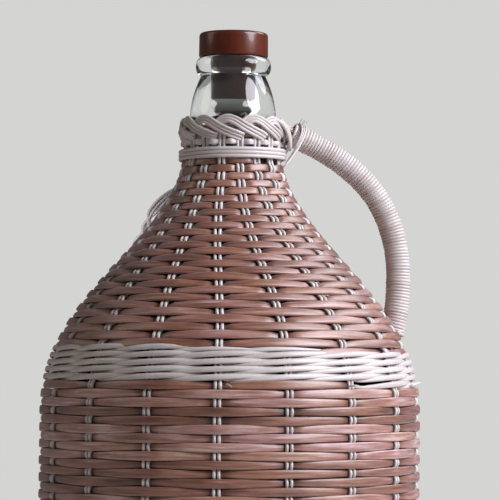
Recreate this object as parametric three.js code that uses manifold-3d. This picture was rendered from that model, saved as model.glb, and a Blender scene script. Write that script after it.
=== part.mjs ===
// Wicker demijohn: a clear glass carboy in a woven cane basket, closed by a push-in stopper.
// The basket is built the way it is woven. Paired stakes run up the bottle, and long weavers spiral
// round them, in front of one pair and behind the next. A waled band crosses the shoulder, a binding and
// a rolled border close the neck, a wrapped handle runs from neck to shoulder and a small plaited one
// stands at the back.
// Units are millimetres, +Z is up, and the origin is on the bottle's axis at the floor.

import * as THREE from "three";
import { mergeVertices } from "three/addons/utils/BufferGeometryUtils.js";
import Module from "manifold-3d";

const wasm = await Module();
wasm.setup();

// Clearances
const FIT_GAP = 0.3; // between two pieces that touch
const TURN_GAP = 0.45; // between two turns of one winding

// Glass bottle, from the base up
const GLASS_WALL = 4;
const GLASS_BASE_RADIUS = 98; // where the flat bottom ends and the heel begins
const GLASS_BODY_RADIUS = 109;
const PUNT_DEPTH = 7; // hollow under the bottle
const PUNT_FULLNESS = 0.7; // share of its depth that the hollow has halfway out
const HEEL_HEIGHT = 62; // from the bottom to the upright wall
const WALL_HEIGHT = 104; // upright wall
const SHOULDER_HEIGHT = 155; // from the upright wall to the neck
const SHOULDER_FULLNESS = 69; // how far the wall's direction carries into the shoulder
const NECK_SWEEP = 58; // how far the neck's direction carries into the shoulder
const NECK_FLARE = THREE.MathUtils.degToRad(6.5);
const NECK_RADIUS = 25.3;
const NECK_HEIGHT = 14; // straight neck under the binding
const COLLAR_RADIUS = 26.7; // the bulge that shows above the border
const COLLAR_RISE = 12; // from the straight neck to the bulge
const THROAT_RADIUS = 19.8; // under the lip's bead
const THROAT_RISE = 28; // from the bulge to the bead
const BEAD_RADIUS = 23.4;
const BEAD_HEIGHT = 11;
const BEAD_ROUNDING = 2.75;
const BORE_RADIUS = 14.6;
const BORE_DEPTH = 28; // straight bore below the lip

// Stopper
const CAP_RADIUS = 21.5;
const CAP_HEIGHT = 15.2;
const CAP_ROUNDING = 2.2;
const SHANK_LENGTH = 28.2;
const SHANK_TAPER = 0.5; // drop in radius from the cap to the tip
const SHANK_CHAMFER = 1;

// Cane
const STAKE_COUNT = 17; // an odd number, so that one weaver alternates from row to row
const STAKE_DIAMETER = 2.2;
const STAKE_PAIR_GAP = 0.8; // between the two rods of a pair
const STAKE_TAIL = 2.2; // bare stake below the first row
const STAKE_HEAD = 2; // bare stake above the last row
const FIRST_PAIR = -3; // pair of stakes where each band begins, counted from the handle
const STAKE_LEAN = THREE.MathUtils.degToRad(-8.9); // turn of the stakes round the bottle, up the shoulder
const LEAN_RISE = 47; // where that turn begins, above the upright wall
const WEAVER_WIDTH = 4.65;
const WEAVER_THICKNESS = 2.2;
const ROW_GAP = 0.45; // least gap between two rows
const CROWDED_SPACING = 18; // where pairs stand closer than this, a weaver lies flat over each
const WALE_WIDTH = 3.65;
const WALE_THICKNESS = 2.6;
const WALE_ROWS = 5;
const WALE_RISE = 19.5; // the waled band's first row above the upright wall
const BINDING_DIAMETER = 1.8;
const BINDING_TURNS = 3;
const NECK_ROW_WIDTH = 2.4;
const NECK_ROW_THICKNESS = 2;
const STRANDS = 3; // in the border and in the plait
const BORDER_STRAND_WIDTH = 4.6;
const BORDER_STRAND_THICKNESS = 2.4;
const BORDER_SWING = 4.3; // how far each border strand rolls up and down
const BORDER_LIFT = 2; // how far it rolls outwards and inwards
const BORDER_ROLLS = 4; // rolls of each strand on its way round the neck

// Base
const FOOT_HEIGHT = 8.2; // rolled foot that the basket stands on
const FOOT_SIDES = 8;
const MAT_RIM = 3; // thickness of the mat's rim, which lies on the foot
const MAT_SAG = 3.5; // how far the mat hangs below its rim, inside the foot
const MAT_ROWS = 4;
const MAT_RIDGE = 1.2; // height of the ridges under the mat

// Handles
const HANDLE_DIAMETER = 15.4;
const WRAP_THICKNESS = 2;
const WRAP_WIDTH = 5.6;
const WRAP_LOOPS = 24;
const HANDLE_TOP_RISE = 21.3; // above the start of the neck
const HANDLE_TOP_LEAD = 61.4;
const HANDLE_TOP_FALL = THREE.MathUtils.degToRad(19.8);
const HANDLE_FOOT_RISE = 7; // above the waled band
const HANDLE_FOOT_LEAD = 80.6;
const HANDLE_FOOT_LEAN = THREE.MathUtils.degToRad(11.6);
const REAR_STAKE = 6; // the stake that carries the rear handle, counted from the front one
const REAR_TOP_DROP = 13; // below the start of the neck
const REAR_TOP_LEAD = 30;
const REAR_TOP_FALL = THREE.MathUtils.degToRad(6);
const REAR_HEIGHT = 62; // from its top down to its foot
const REAR_FOOT_LEAD = 38;
const REAR_FOOT_LEAN = THREE.MathUtils.degToRad(3);
const PLAIT_STRAND_WIDTH = 3.6;
const PLAIT_STRAND_THICKNESS = 2;
const PLAIT_SWING = 4.6; // how far each strand of the plait swings to either side
const PLAIT_LIFT = 2.5; // how far it rises over the others and dips under them
const PLAIT_PERIODS = 2;

// Facets
const LATHE_SEGMENTS = 26;
const HEEL_STEPS = 2;
const SHOULDER_STEPS = 7;
const COLLAR_STEPS = 3;
const BINDING_STEPS = 18;
const BINDING_SIDES = 5;
const WRAP_STEPS = 12;
const CORE_STEPS = 16;
const CORE_SIDES = 8;
const PLAIT_STEPS = 12; // for each swing of a plaited strand or roll of a border strand
const MERGE_TOLERANCE = 1e-4;

// Heights and clearances that follow
const MAT_RIM_Z = FOOT_HEIGHT + FIT_GAP;
const GLASS_BASE_Z = MAT_RIM_Z + MAT_RIM + FIT_GAP;
const HEEL_Z = GLASS_BASE_Z + HEEL_HEIGHT;
const SHOULDER_Z = HEEL_Z + WALL_HEIGHT;
const NECK_Z = SHOULDER_Z + SHOULDER_HEIGHT;
const COLLAR_Z = NECK_Z + NECK_HEIGHT + COLLAR_RISE;
const THROAT_Z = COLLAR_Z + THROAT_RISE;
const LIP_Z = THROAT_Z + BEAD_HEIGHT;
const STAKE_SPACING = (2 * Math.PI) / STAKE_COUNT;
const STAKE_HALF_SIDE = (STAKE_DIAMETER * Math.sqrt(Math.PI)) / 4; // square of the round rod's area
const PAIR_HALF_WIDTH = STAKE_DIAMETER + STAKE_PAIR_GAP / 2;
const THICKEST_STRAND = Math.max(WEAVER_THICKNESS, WALE_THICKNESS, NECK_ROW_THICKNESS);
const STAKE_OFFSET = STAKE_DIAMETER / 2 + THICKEST_STRAND + 2 * FIT_GAP; // stake centres from the glass

const colours = {
  glass: { color: 0xb9c4bd, roughness: 0.05, metalness: 0, transparent: true, opacity: 0.35 },
  stopper: { color: 0x5a1a0c, roughness: 0.3, metalness: 0 },
  cream: { color: 0xd9bfae, roughness: 0.6, metalness: 0 },
  brown: { color: 0x7d4534, roughness: 0.55, metalness: 0 },
};

const demijohn = new THREE.Group();

// Adds a named piece to a group, the whole object unless another is given.
function addPiece(name, geometry, colour, group = demijohn) {
  const mesh = new THREE.Mesh(geometry, new THREE.MeshStandardMaterial(colours[colour]));
  mesh.name = name;
  group.add(mesh);
}

// Merges shared corners, drops collapsed faces and turns the rest outwards.
function closed(geometry) {
  const bare = geometry.index ? geometry.toNonIndexed() : geometry.clone();
  bare.deleteAttribute("normal");
  bare.deleteAttribute("uv");
  const merged = mergeVertices(bare, MERGE_TOLERANCE);
  const corners = Array.from(merged.index.array);
  const position = merged.attributes.position;
  const [a, b, c] = [new THREE.Vector3(), new THREE.Vector3(), new THREE.Vector3()];
  const faces = [];
  let volume = 0;
  for (let i = 0; i < corners.length; i += 3) {
    const [p, q, r] = corners.slice(i, i + 3);
    if (p === q || q === r || r === p) continue;
    faces.push([p, q, r]);
    a.fromBufferAttribute(position, p);
    b.fromBufferAttribute(position, q);
    c.fromBufferAttribute(position, r);
    volume += a.dot(b.cross(c));
  }
  if (volume < 0) faces.forEach((face) => face.reverse());
  merged.setIndex(faces.flat());
  merged.computeVertexNormals();
  return merged;
}

// Revolves a profile of (radius, height) points round Z, with a corner on +X.
function revolve(profile, segments = LATHE_SEGMENTS) {
  const quarterTurn = Math.PI / 2;
  return closed(new THREE.LatheGeometry(profile, segments, quarterTurn).rotateX(quarterTurn));
}

function manifoldOf(geometry) {
  const vertProperties = new Float32Array(geometry.attributes.position.array);
  const triVerts = new Uint32Array(geometry.index.array);
  return new wasm.Manifold(new wasm.Mesh({ numProp: 3, vertProperties, triVerts }));
}

// Cuts a tool out of a piece and keeps the largest body that is left.
function cut(geometry, tool) {
  const bodies = manifoldOf(geometry).subtract(manifoldOf(tool)).decompose();
  const kept = bodies.reduce((best, body) => (body.volume() > best.volume() ? body : best)).getMesh();
  const left = new THREE.BufferGeometry();
  left.setAttribute("position", new THREE.BufferAttribute(kept.vertProperties, 3));
  left.setIndex(new THREE.BufferAttribute(kept.triVerts, 1));
  return closed(left);
}

// Sweeps a convex section along stations. A station gives a point and the section's two axes.
function sweep(stations, section, loop = false) {
  const sides = section.length;
  const vertices = stations.flatMap(({ at, across, along }) =>
    section.flatMap((p) => at.clone().addScaledVector(across, p.x).addScaledVector(along, p.y).toArray()),
  );
  const faces = [];
  const rings = stations.length;
  for (let ring = 0; ring < (loop ? rings : rings - 1); ring++) {
    const here = ring * sides;
    const next = ((ring + 1) % rings) * sides;
    for (let i = 0; i < sides; i++) {
      const j = (i + 1) % sides;
      faces.push(here + i, here + j, next + j, here + i, next + j, next + i);
    }
  }
  if (!loop) {
    const last = (rings - 1) * sides;
    for (let i = 1; i < sides - 1; i++) faces.push(0, i + 1, i, last, last + i, last + i + 1);
  }
  const geometry = new THREE.BufferGeometry();
  geometry.setAttribute("position", new THREE.Float32BufferAttribute(vertices, 3));
  geometry.setIndex(faces);
  return closed(geometry);
}

// Sections: x is the thickness, outwards, and y the width.
const halfRound = (width, thickness) => [
  new THREE.Vector2(-thickness / 2, -width / 2),
  new THREE.Vector2(thickness / 2, 0),
  new THREE.Vector2(-thickness / 2, width / 2),
];
const flat = (width, thickness) => [
  new THREE.Vector2(-thickness / 2, -width / 2),
  new THREE.Vector2(thickness / 2, -width / 2),
  new THREE.Vector2(thickness / 2, width / 2),
  new THREE.Vector2(-thickness / 2, width / 2),
];
const round = (diameter, sides) =>
  Array.from({ length: sides }, (_, i) => {
    const turn = (2 * Math.PI * i) / sides;
    return new THREE.Vector2(Math.cos(turn), Math.sin(turn)).multiplyScalar(diameter / 2);
  });

// The glass wall from the heel to the top of the straight neck, as (radius, height) points.
const wallCurves = {
  heel: new THREE.QuadraticBezierCurve(
    new THREE.Vector2(GLASS_BASE_RADIUS, GLASS_BASE_Z),
    new THREE.Vector2(GLASS_BODY_RADIUS, GLASS_BASE_Z + GLASS_BODY_RADIUS - GLASS_BASE_RADIUS),
    new THREE.Vector2(GLASS_BODY_RADIUS, HEEL_Z),
  ),
  shoulder: new THREE.CubicBezierCurve(
    new THREE.Vector2(GLASS_BODY_RADIUS, SHOULDER_Z),
    new THREE.Vector2(GLASS_BODY_RADIUS, SHOULDER_Z + SHOULDER_FULLNESS),
    new THREE.Vector2(
      NECK_RADIUS + NECK_SWEEP * Math.sin(NECK_FLARE),
      NECK_Z - NECK_SWEEP * Math.cos(NECK_FLARE),
    ),
    new THREE.Vector2(NECK_RADIUS, NECK_Z),
  ),
};
const neckTop = new THREE.Vector2(NECK_RADIUS, NECK_Z + NECK_HEIGHT);
const glassWall = [
  ...wallCurves.heel.getPoints(HEEL_STEPS),
  ...wallCurves.shoulder.getPoints(SHOULDER_STEPS),
  neckTop,
];

// The outward direction at each point of a profile.
function outwardAt(profile) {
  return profile.map((_, i) => {
    const before = profile[Math.max(i - 1, 0)];
    const after = profile[Math.min(i + 1, profile.length - 1)];
    const upwards = after.clone().sub(before).normalize();
    return new THREE.Vector2(upwards.y, -upwards.x);
  });
}

const offsetProfile = (profile, distance) => {
  const outward = outwardAt(profile);
  return profile.map((p, i) => p.clone().addScaledVector(outward[i], distance));
};

// The line of the stakes' centres up the outside of the glass, measured by its length from the foot.
const stakeLine = offsetProfile(glassWall, STAKE_OFFSET);
const stakeOutward = outwardAt(stakeLine);
const stakeLean = stakeLine.map(
  (p) => STAKE_LEAN * THREE.MathUtils.smoothstep(p.y, SHOULDER_Z + LEAN_RISE, NECK_Z),
);
const stakeLengths = stakeLine.reduce(
  (lengths, p, i) => (i ? [...lengths, lengths[i - 1] + p.distanceTo(stakeLine[i - 1])] : [0]),
  [],
);

// The point of the stake line at a length, its outward and upward directions, and the stakes' turn there.
function stakeLineAt(length) {
  const after = stakeLengths.findIndex((l) => l >= length);
  const i = Math.max(after < 0 ? stakeLine.length - 2 : after - 1, 0);
  const share = (length - stakeLengths[i]) / (stakeLengths[i + 1] - stakeLengths[i]);
  const at = stakeLine[i].clone().lerp(stakeLine[i + 1], share);
  const outward = stakeOutward[i].clone().lerp(stakeOutward[i + 1], share).normalize();
  const lean = THREE.MathUtils.lerp(stakeLean[i], stakeLean[i + 1], share);
  return { at, outward, upward: new THREE.Vector2(-outward.y, outward.x), lean };
}

// The length up the stake line at which it reaches a height.
function lengthAtHeight(z) {
  const i = stakeLine.findIndex((p) => p.y >= z) - 1;
  const share = (z - stakeLine[i].y) / (stakeLine[i + 1].y - stakeLine[i].y);
  return THREE.MathUtils.lerp(stakeLengths[i], stakeLengths[i + 1], share);
}

const radial = (turn) => new THREE.Vector3(Math.cos(turn), Math.sin(turn), 0);
const tangent = (turn) => new THREE.Vector3(-Math.sin(turn), Math.cos(turn), 0);

// A (radius, height) pair in the plane at an angle round the axis, as a vector.
const inPlane = (p, turn) => radial(turn).multiplyScalar(p.x).setZ(p.y);

// How far a strand's centre stands in front of the stakes so that it clears both rods of a pair.
function reachInFront(radius, thickness) {
  const spacing = radius * STAKE_SPACING;
  const clear = STAKE_DIAMETER / 2 + FIT_GAP + thickness / 2;
  if (spacing < CROWDED_SPACING) return clear + PAIR_HALF_WIDTH ** 2 / (2 * radius);
  const chordDip = (PAIR_HALF_WIDTH * (spacing - PAIR_HALF_WIDTH)) / (2 * radius);
  const share = PAIR_HALF_WIDTH / spacing;
  return (clear * (1 + share) + chordDip) / (1 - share);
}

// A strand woven round the stakes, climbing one pitch each turn. inFront(k) says how it passes a pair.
function weave({ start, pitch, rows, thickness, section, inFront }) {
  const stations = [];
  const behind = STAKE_DIAMETER / 2 + FIT_GAP + thickness / 2;
  for (let k = 0; k < rows * STAKE_COUNT; k++) {
    const { at, outward, upward, lean } = stakeLineAt(start + (pitch * k) / STAKE_COUNT);
    const crowded = at.x * STAKE_SPACING < CROWDED_SPACING;
    const halfTurn = crowded ? PAIR_HALF_WIDTH / at.x : 0;
    const out = inFront(k) ? reachInFront(at.x, thickness) : -behind;
    const centre = at.clone().addScaledVector(outward, out);
    for (const turn of crowded ? [-halfTurn, halfTurn] : [0]) {
      const angle = (FIRST_PAIR + k) * STAKE_SPACING + lean + turn;
      stations.push({
        at: inPlane(centre, angle),
        across: inPlane(outward, angle),
        along: inPlane(upward, angle),
      });
    }
  }
  return sweep(stations, section);
}

// The least distance between the corners of two turns of a winding.
function leastSelfGap(rings, stepsInTurn) {
  let least = Infinity;
  for (let i = 0; i < rings.length; i++)
    for (let j = i + Math.ceil(stepsInTurn / 2); j < rings.length; j++)
      for (const p of rings[i]) for (const q of rings[j]) least = Math.min(least, p.distanceTo(q));
  return least;
}

// A winding is one unbroken tube. Its least gap to itself is measured on its corners and printed.
function winding(name, stations, section, stepsInTurn) {
  const rings = stations.map(({ at, across, along }) =>
    section.map((p) => at.clone().addScaledVector(across, p.x).addScaledVector(along, p.y)),
  );
  console.log(`${name}: least gap between turns ${leastSelfGap(rings, stepsInTurn).toFixed(2)} mm`);
  return sweep(stations, section);
}

// The rows of a band that fills the space up to the next band: how many, and how far apart.
function fillRows(start, nextStart, width, nextWidth, nextPitch) {
  const room = nextStart - start - (width + nextWidth) / 2 - ROW_GAP + nextPitch;
  const rows = Math.floor(room / (width + ROW_GAP));
  return { rows, pitch: room / rows };
}

// The first row of a band that follows another one and climbs about as fast, or faster.
const startAfter = (band, nextWidth) =>
  band.start + band.pitch * (band.rows - 1) + (band.width + nextWidth) / 2 + ROW_GAP;

// The bands of the basket, from the foot to the border. Lengths are measured up the stakes.
const wale = {
  start: lengthAtHeight(SHOULDER_Z + WALE_RISE),
  width: WALE_WIDTH,
  pitch: WALE_WIDTH + ROW_GAP,
  rows: WALE_ROWS,
};
const binding = {
  start: lengthAtHeight(NECK_Z) + BINDING_DIAMETER / 2 + FIT_GAP,
  width: BINDING_DIAMETER,
  pitch: BINDING_DIAMETER + TURN_GAP,
  rows: BINDING_TURNS,
};
const bodyStart = STAKE_TAIL + WEAVER_WIDTH / 2;
const body = {
  start: bodyStart,
  width: WEAVER_WIDTH,
  ...fillRows(bodyStart, wale.start, WEAVER_WIDTH, wale.width, wale.pitch),
};
const shoulderStart = startAfter(wale, WEAVER_WIDTH);
const shoulder = {
  start: shoulderStart,
  width: WEAVER_WIDTH,
  ...fillRows(shoulderStart, binding.start, WEAVER_WIDTH, binding.width, binding.pitch),
};
const neckRow = {
  start: startAfter(binding, NECK_ROW_WIDTH),
  width: NECK_ROW_WIDTH,
  pitch: NECK_ROW_WIDTH + ROW_GAP,
  rows: 1,
};
const even = (k) => k % 2 === 0;
const odd = (k) => !even(k);
const twoOfThree = (k) => k % 3 !== 2;

// Glass bottle: one revolved wall, open at the lip.
function addBottle() {
  const collar = new THREE.QuadraticBezierCurve(
    new THREE.Vector2(COLLAR_RADIUS, COLLAR_Z),
    new THREE.Vector2(COLLAR_RADIUS, COLLAR_Z + THROAT_RISE / 2),
    new THREE.Vector2(THROAT_RADIUS, THROAT_Z),
  );
  const outside = [
    new THREE.Vector2(0, GLASS_BASE_Z + PUNT_DEPTH),
    new THREE.Vector2(GLASS_BASE_RADIUS / 2, GLASS_BASE_Z + PUNT_DEPTH * PUNT_FULLNESS),
    ...glassWall,
    ...collar.getPoints(COLLAR_STEPS),
    new THREE.Vector2(BEAD_RADIUS, THROAT_Z + BEAD_ROUNDING),
    new THREE.Vector2(BEAD_RADIUS, LIP_Z - BEAD_ROUNDING),
    new THREE.Vector2((BEAD_RADIUS + BORE_RADIUS) / 2, LIP_Z),
  ];
  const insideWall = offsetProfile(glassWall, -GLASS_WALL).reverse();
  const floorZ = GLASS_BASE_Z + PUNT_DEPTH + GLASS_WALL;
  const inside = [
    new THREE.Vector2(BORE_RADIUS, LIP_Z),
    new THREE.Vector2(BORE_RADIUS, LIP_Z - BORE_DEPTH),
    new THREE.Vector2(COLLAR_RADIUS - GLASS_WALL, COLLAR_Z),
    ...insideWall.filter((p) => p.y > floorZ),
    new THREE.Vector2(GLASS_BASE_RADIUS - GLASS_WALL, floorZ),
    new THREE.Vector2(0, floorZ + PUNT_DEPTH / 2),
  ];
  addPiece("glass_bottle", revolve([...outside, ...inside]), "glass");
}

// Stopper: a round cap on a tapered shank that fills the bore.
function addStopper() {
  const capZ = LIP_Z + FIT_GAP;
  const topZ = capZ + CAP_HEIGHT;
  const shankRadius = BORE_RADIUS - FIT_GAP;
  const tipRadius = shankRadius - SHANK_TAPER;
  const tipZ = capZ - SHANK_LENGTH;
  const rounded = new THREE.QuadraticBezierCurve(
    new THREE.Vector2(CAP_RADIUS, topZ - CAP_ROUNDING),
    new THREE.Vector2(CAP_RADIUS, topZ),
    new THREE.Vector2(CAP_RADIUS - CAP_ROUNDING, topZ),
  );
  const profile = [
    new THREE.Vector2(0, tipZ),
    new THREE.Vector2(tipRadius - SHANK_CHAMFER, tipZ),
    new THREE.Vector2(tipRadius, tipZ + SHANK_CHAMFER),
    new THREE.Vector2(shankRadius, capZ),
    new THREE.Vector2(CAP_RADIUS - CAP_ROUNDING / 2, capZ),
    new THREE.Vector2(CAP_RADIUS, capZ + CAP_ROUNDING / 2),
    ...rounded.getPoints(2),
    new THREE.Vector2(0, topZ),
  ];
  addPiece("stopper", revolve(profile), "stopper");
}

// Base: a rolled foot, flat underneath, and a woven mat that lies on it and carries the glass.
function addBase() {
  const half = FOOT_HEIGHT / 2;
  const footRadius = stakeLine[0].x - STAKE_DIAMETER / 2;
  const corner = Math.PI / FOOT_SIDES;
  const roll = round(FOOT_HEIGHT / Math.cos(corner), FOOT_SIDES).map((p) =>
    p.rotateAround(new THREE.Vector2(), corner).add(new THREE.Vector2(footRadius, half)),
  );
  addPiece("foot_roll", revolve([...roll, roll[0].clone()]), "cream");

  const rimRadius = footRadius - STAKE_DIAMETER / 2;
  const sagRadius = footRadius - half - FIT_GAP;
  const rowWidth = sagRadius / MAT_ROWS;
  const lowZ = MAT_RIM_Z - MAT_SAG;
  const underside = [];
  for (let row = 0; row < MAT_ROWS; row++) {
    underside.push(new THREE.Vector2(row * rowWidth, lowZ + MAT_RIDGE));
    underside.push(new THREE.Vector2((row + 0.5) * rowWidth, lowZ));
  }
  const rim = [
    new THREE.Vector2(sagRadius, lowZ + MAT_RIDGE),
    new THREE.Vector2(sagRadius, MAT_RIM_Z),
    new THREE.Vector2(rimRadius, MAT_RIM_Z),
    new THREE.Vector2(rimRadius, MAT_RIM_Z + MAT_RIM),
    new THREE.Vector2(0, MAT_RIM_Z + MAT_RIM),
  ];
  addPiece("base_mat", revolve([...underside, ...rim]), "brown");
}

// Stakes: two rods side by side at each place, from the foot to the border.
function addStakes(topLength) {
  const side = 2 * STAKE_HALF_SIDE;
  const lengths = [...stakeLengths.filter((length) => length < topLength), topLength];
  const apart = (STAKE_DIAMETER + STAKE_PAIR_GAP) / 2;
  for (let pair = 0; pair < STAKE_COUNT; pair++) {
    for (const [name, shift] of [["a", -apart], ["b", apart]]) {
      const stations = lengths.map((length) => {
        const { at, outward, lean } = stakeLineAt(length);
        const turn = pair * STAKE_SPACING + lean;
        return {
          at: inPlane(at, turn).addScaledVector(tangent(turn), shift),
          across: inPlane(outward, turn),
          along: tangent(turn),
        };
      });
      const number = String(pair + 1).padStart(2, "0");
      addPiece(`stake_${number}${name}`, sweep(stations, flat(side, side)), "cream");
    }
  }
}

// Weavers, waled band, binding and the single row above it.
function addWeaving() {
  const weaver = { thickness: WEAVER_THICKNESS, section: halfRound(WEAVER_WIDTH, WEAVER_THICKNESS) };
  addPiece("body_weaver", weave({ ...body, ...weaver, inFront: odd }), "brown");
  addPiece("shoulder_weaver", weave({ ...shoulder, ...weaver, inFront: even }), "brown");
  const waling = { thickness: WALE_THICKNESS, section: flat(WALE_WIDTH, WALE_THICKNESS) };
  addPiece("shoulder_wale", weave({ ...wale, ...waling, inFront: twoOfThree }), "cream");
  const row = { thickness: NECK_ROW_THICKNESS, section: flat(NECK_ROW_WIDTH, NECK_ROW_THICKNESS) };
  addPiece("neck_row", weave({ ...neckRow, ...row, inFront: even }), "cream");

  const stepTurn = (2 * Math.PI) / BINDING_STEPS;
  const chord = 1 / Math.cos(stepTurn / 2);
  const stakeFace = neckTop.x + STAKE_OFFSET + STAKE_DIAMETER / 2;
  const bindingRadius = (stakeFace + FIT_GAP + BINDING_DIAMETER / 2) * chord;
  const lastStep = BINDING_TURNS * BINDING_STEPS - Math.ceil(STAKE_SPACING / stepTurn);
  const stations = [];
  for (let i = 0; i <= lastStep; i++) {
    const { at, lean } = stakeLineAt(binding.start + (binding.pitch * i) / BINDING_STEPS);
    const turn = FIRST_PAIR * STAKE_SPACING + lean + i * stepTurn;
    stations.push({
      at: inPlane(new THREE.Vector2(bindingRadius, at.y), turn),
      across: radial(turn),
      along: new THREE.Vector3(0, 0, 1),
    });
  }
  const cane = round(BINDING_DIAMETER, BINDING_SIDES);
  addPiece("neck_binding", winding("neck_binding", stations, cane, BINDING_STEPS), "cream");
  return bindingRadius + BINDING_DIAMETER / 2;
}

// Border: three strands rolled round one another above the stakes' ends, each closed on itself.
function addBorder(bottomZ) {
  const depth = BORDER_LIFT + BORDER_STRAND_THICKNESS / 2;
  const steps = BORDER_ROLLS * PLAIT_STEPS;
  const chord = 1 / Math.cos(Math.PI / steps);
  const centre = new THREE.Vector2(
    (COLLAR_RADIUS + FIT_GAP + depth) * chord,
    bottomZ + BORDER_SWING + BORDER_STRAND_WIDTH / 2,
  );
  for (let strand = 0; strand < STRANDS; strand++) {
    const stations = [];
    for (let i = 0; i < steps; i++) {
      const turn = (2 * Math.PI * i) / steps;
      const phase = (2 * Math.PI * strand) / STRANDS - BORDER_ROLLS * turn;
      const place = new THREE.Vector2(BORDER_LIFT * Math.cos(phase), BORDER_SWING * Math.sin(phase));
      stations.push({
        at: inPlane(place.add(centre), turn),
        across: radial(turn),
        along: new THREE.Vector3(0, 0, 1),
      });
    }
    const section = flat(BORDER_STRAND_WIDTH, BORDER_STRAND_THICKNESS);
    addPiece(`border_strand_${strand + 1}`, sweep(stations, section, true), "cream");
  }
  return { radius: centre.x + depth, topZ: centre.y + BORDER_SWING + BORDER_STRAND_WIDTH / 2 };
}

// The space that the basket takes up, which the handles' ends are cut to.
function basketSpace(neckRadius, topZ) {
  const outer = stakeLine
    .map((p, i) => p.clone().addScaledVector(
      stakeOutward[i],
      reachInFront(p.x, WEAVER_THICKNESS) + WEAVER_THICKNESS / 2 + FIT_GAP,
    ))
    .filter((p) => p.y < NECK_Z);
  return revolve([
    new THREE.Vector2(0, outer[0].y),
    ...outer,
    new THREE.Vector2(neckRadius, NECK_Z),
    new THREE.Vector2(neckRadius, topZ),
    new THREE.Vector2(0, topZ),
  ], 2 * STAKE_COUNT);
}

// A handle's line in the plane of its stake: out from its top and down to its foot.
function handleLine({ top, topLead, topFall, foot, footLead, footLean }) {
  const place = (r, z) => new THREE.Vector3(r, 0, z);
  return new THREE.CubicBezierCurve3(
    place(top.x, top.y),
    place(top.x + topLead * Math.cos(topFall), top.y - topLead * Math.sin(topFall)),
    place(foot.x + footLead * Math.sin(footLean), foot.y + footLead * Math.cos(footLean)),
    place(foot.x, foot.y),
  );
}

// A handle line's point, its direction and its outward side at a share of its length.
function handleAt(line, share) {
  const direction = line.getTangentAt(share);
  const outer = new THREE.Vector3(-direction.z, 0, direction.x);
  return { at: line.getPointAt(share), direction, outer };
}

// Front handle: a core of cane, wound with one long cane from the border to where it meets the weave.
function addFrontHandle(basket) {
  const foot = stakeLineAt(startAfter(wale, WEAVER_WIDTH) + HANDLE_FOOT_RISE).at;
  const line = handleLine({
    top: new THREE.Vector2(neckTop.x + STAKE_OFFSET, NECK_Z + HANDLE_TOP_RISE),
    topLead: HANDLE_TOP_LEAD,
    topFall: HANDLE_TOP_FALL,
    foot,
    footLead: HANDLE_FOOT_LEAD,
    footLean: HANDLE_FOOT_LEAN,
  });
  const stepTurn = (2 * Math.PI) / WRAP_STEPS;
  const wrapRadius = HANDLE_DIAMETER / 2 - WRAP_THICKNESS / 2;
  const coreRadius = (wrapRadius - WRAP_THICKNESS / 2) * Math.cos(stepTurn / 2) - FIT_GAP;
  const across = new THREE.Vector3(0, 1, 0);
  const coreStations = [];
  for (let i = 0; i <= CORE_STEPS; i++) {
    const { at, outer } = handleAt(line, i / CORE_STEPS);
    coreStations.push({ at, across: outer, along: across });
  }
  addPiece("handle_core", cut(sweep(coreStations, round(2 * coreRadius, CORE_SIDES)), basket), "cream");

  const wrapStations = [];
  for (let i = 0; i <= WRAP_LOOPS * WRAP_STEPS; i++) {
    const { at, direction, outer } = handleAt(line, i / (WRAP_LOOPS * WRAP_STEPS));
    const out = outer.clone().multiplyScalar(Math.cos(i * stepTurn));
    out.addScaledVector(across, Math.sin(i * stepTurn));
    wrapStations.push({ at: at.clone().addScaledVector(out, wrapRadius), across: out, along: direction });
  }
  const cane = flat(WRAP_WIDTH, WRAP_THICKNESS);
  addPiece("handle_wrap", cut(winding("handle_wrap", wrapStations, cane, WRAP_STEPS), basket), "cream");
}

// Rear handle: three strands plaited flat, from under the binding to the shoulder.
function addRearHandle(basket) {
  const topZ = NECK_Z - REAR_TOP_DROP;
  const line = handleLine({
    top: stakeLineAt(lengthAtHeight(topZ)).at,
    topLead: REAR_TOP_LEAD,
    topFall: REAR_TOP_FALL,
    foot: stakeLineAt(lengthAtHeight(topZ - REAR_HEIGHT)).at,
    footLead: REAR_FOOT_LEAD,
    footLean: REAR_FOOT_LEAN,
  });
  const handle = new THREE.Group();
  handle.rotation.z = REAR_STAKE * STAKE_SPACING;
  demijohn.add(handle);
  const across = new THREE.Vector3(0, 1, 0);
  const steps = PLAIT_PERIODS * PLAIT_STEPS;
  for (let strand = 0; strand < STRANDS; strand++) {
    const stations = [];
    for (let i = 0; i <= steps; i++) {
      const { at, outer } = handleAt(line, i / steps);
      const phase = 2 * Math.PI * (i / PLAIT_STEPS + strand / STRANDS);
      const centre = at.clone().addScaledVector(across, PLAIT_SWING * Math.sin(phase));
      centre.addScaledVector(outer, PLAIT_LIFT * Math.sin(2 * phase));
      stations.push({ at: centre, across: outer, along: across });
    }
    const section = flat(PLAIT_STRAND_WIDTH, PLAIT_STRAND_THICKNESS);
    const piece = cut(sweep(stations, section), basket);
    addPiece(`rear_handle_strand_${strand + 1}`, piece, "cream", handle);
  }
}

addBottle();
addStopper();
addBase();
const bindingOuter = addWeaving();
const stakeTop = neckRow.start + neckRow.pitch + NECK_ROW_WIDTH / 2 + STAKE_HEAD;
addStakes(stakeTop);
const border = addBorder(stakeLineAt(stakeTop).at.y + FIT_GAP);
const neckRadius = Math.max(bindingOuter, border.radius) + FIT_GAP;
const basket = basketSpace(neckRadius, border.topZ + HANDLE_DIAMETER);
addFrontHandle(basket);
addRearHandle(basket);

export default demijohn;
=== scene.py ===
# Dresses the wicker demijohn: fine cane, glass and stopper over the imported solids, in a plain studio.
import math

import bpy
import numpy as np
from mathutils import Matrix, Vector


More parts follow.
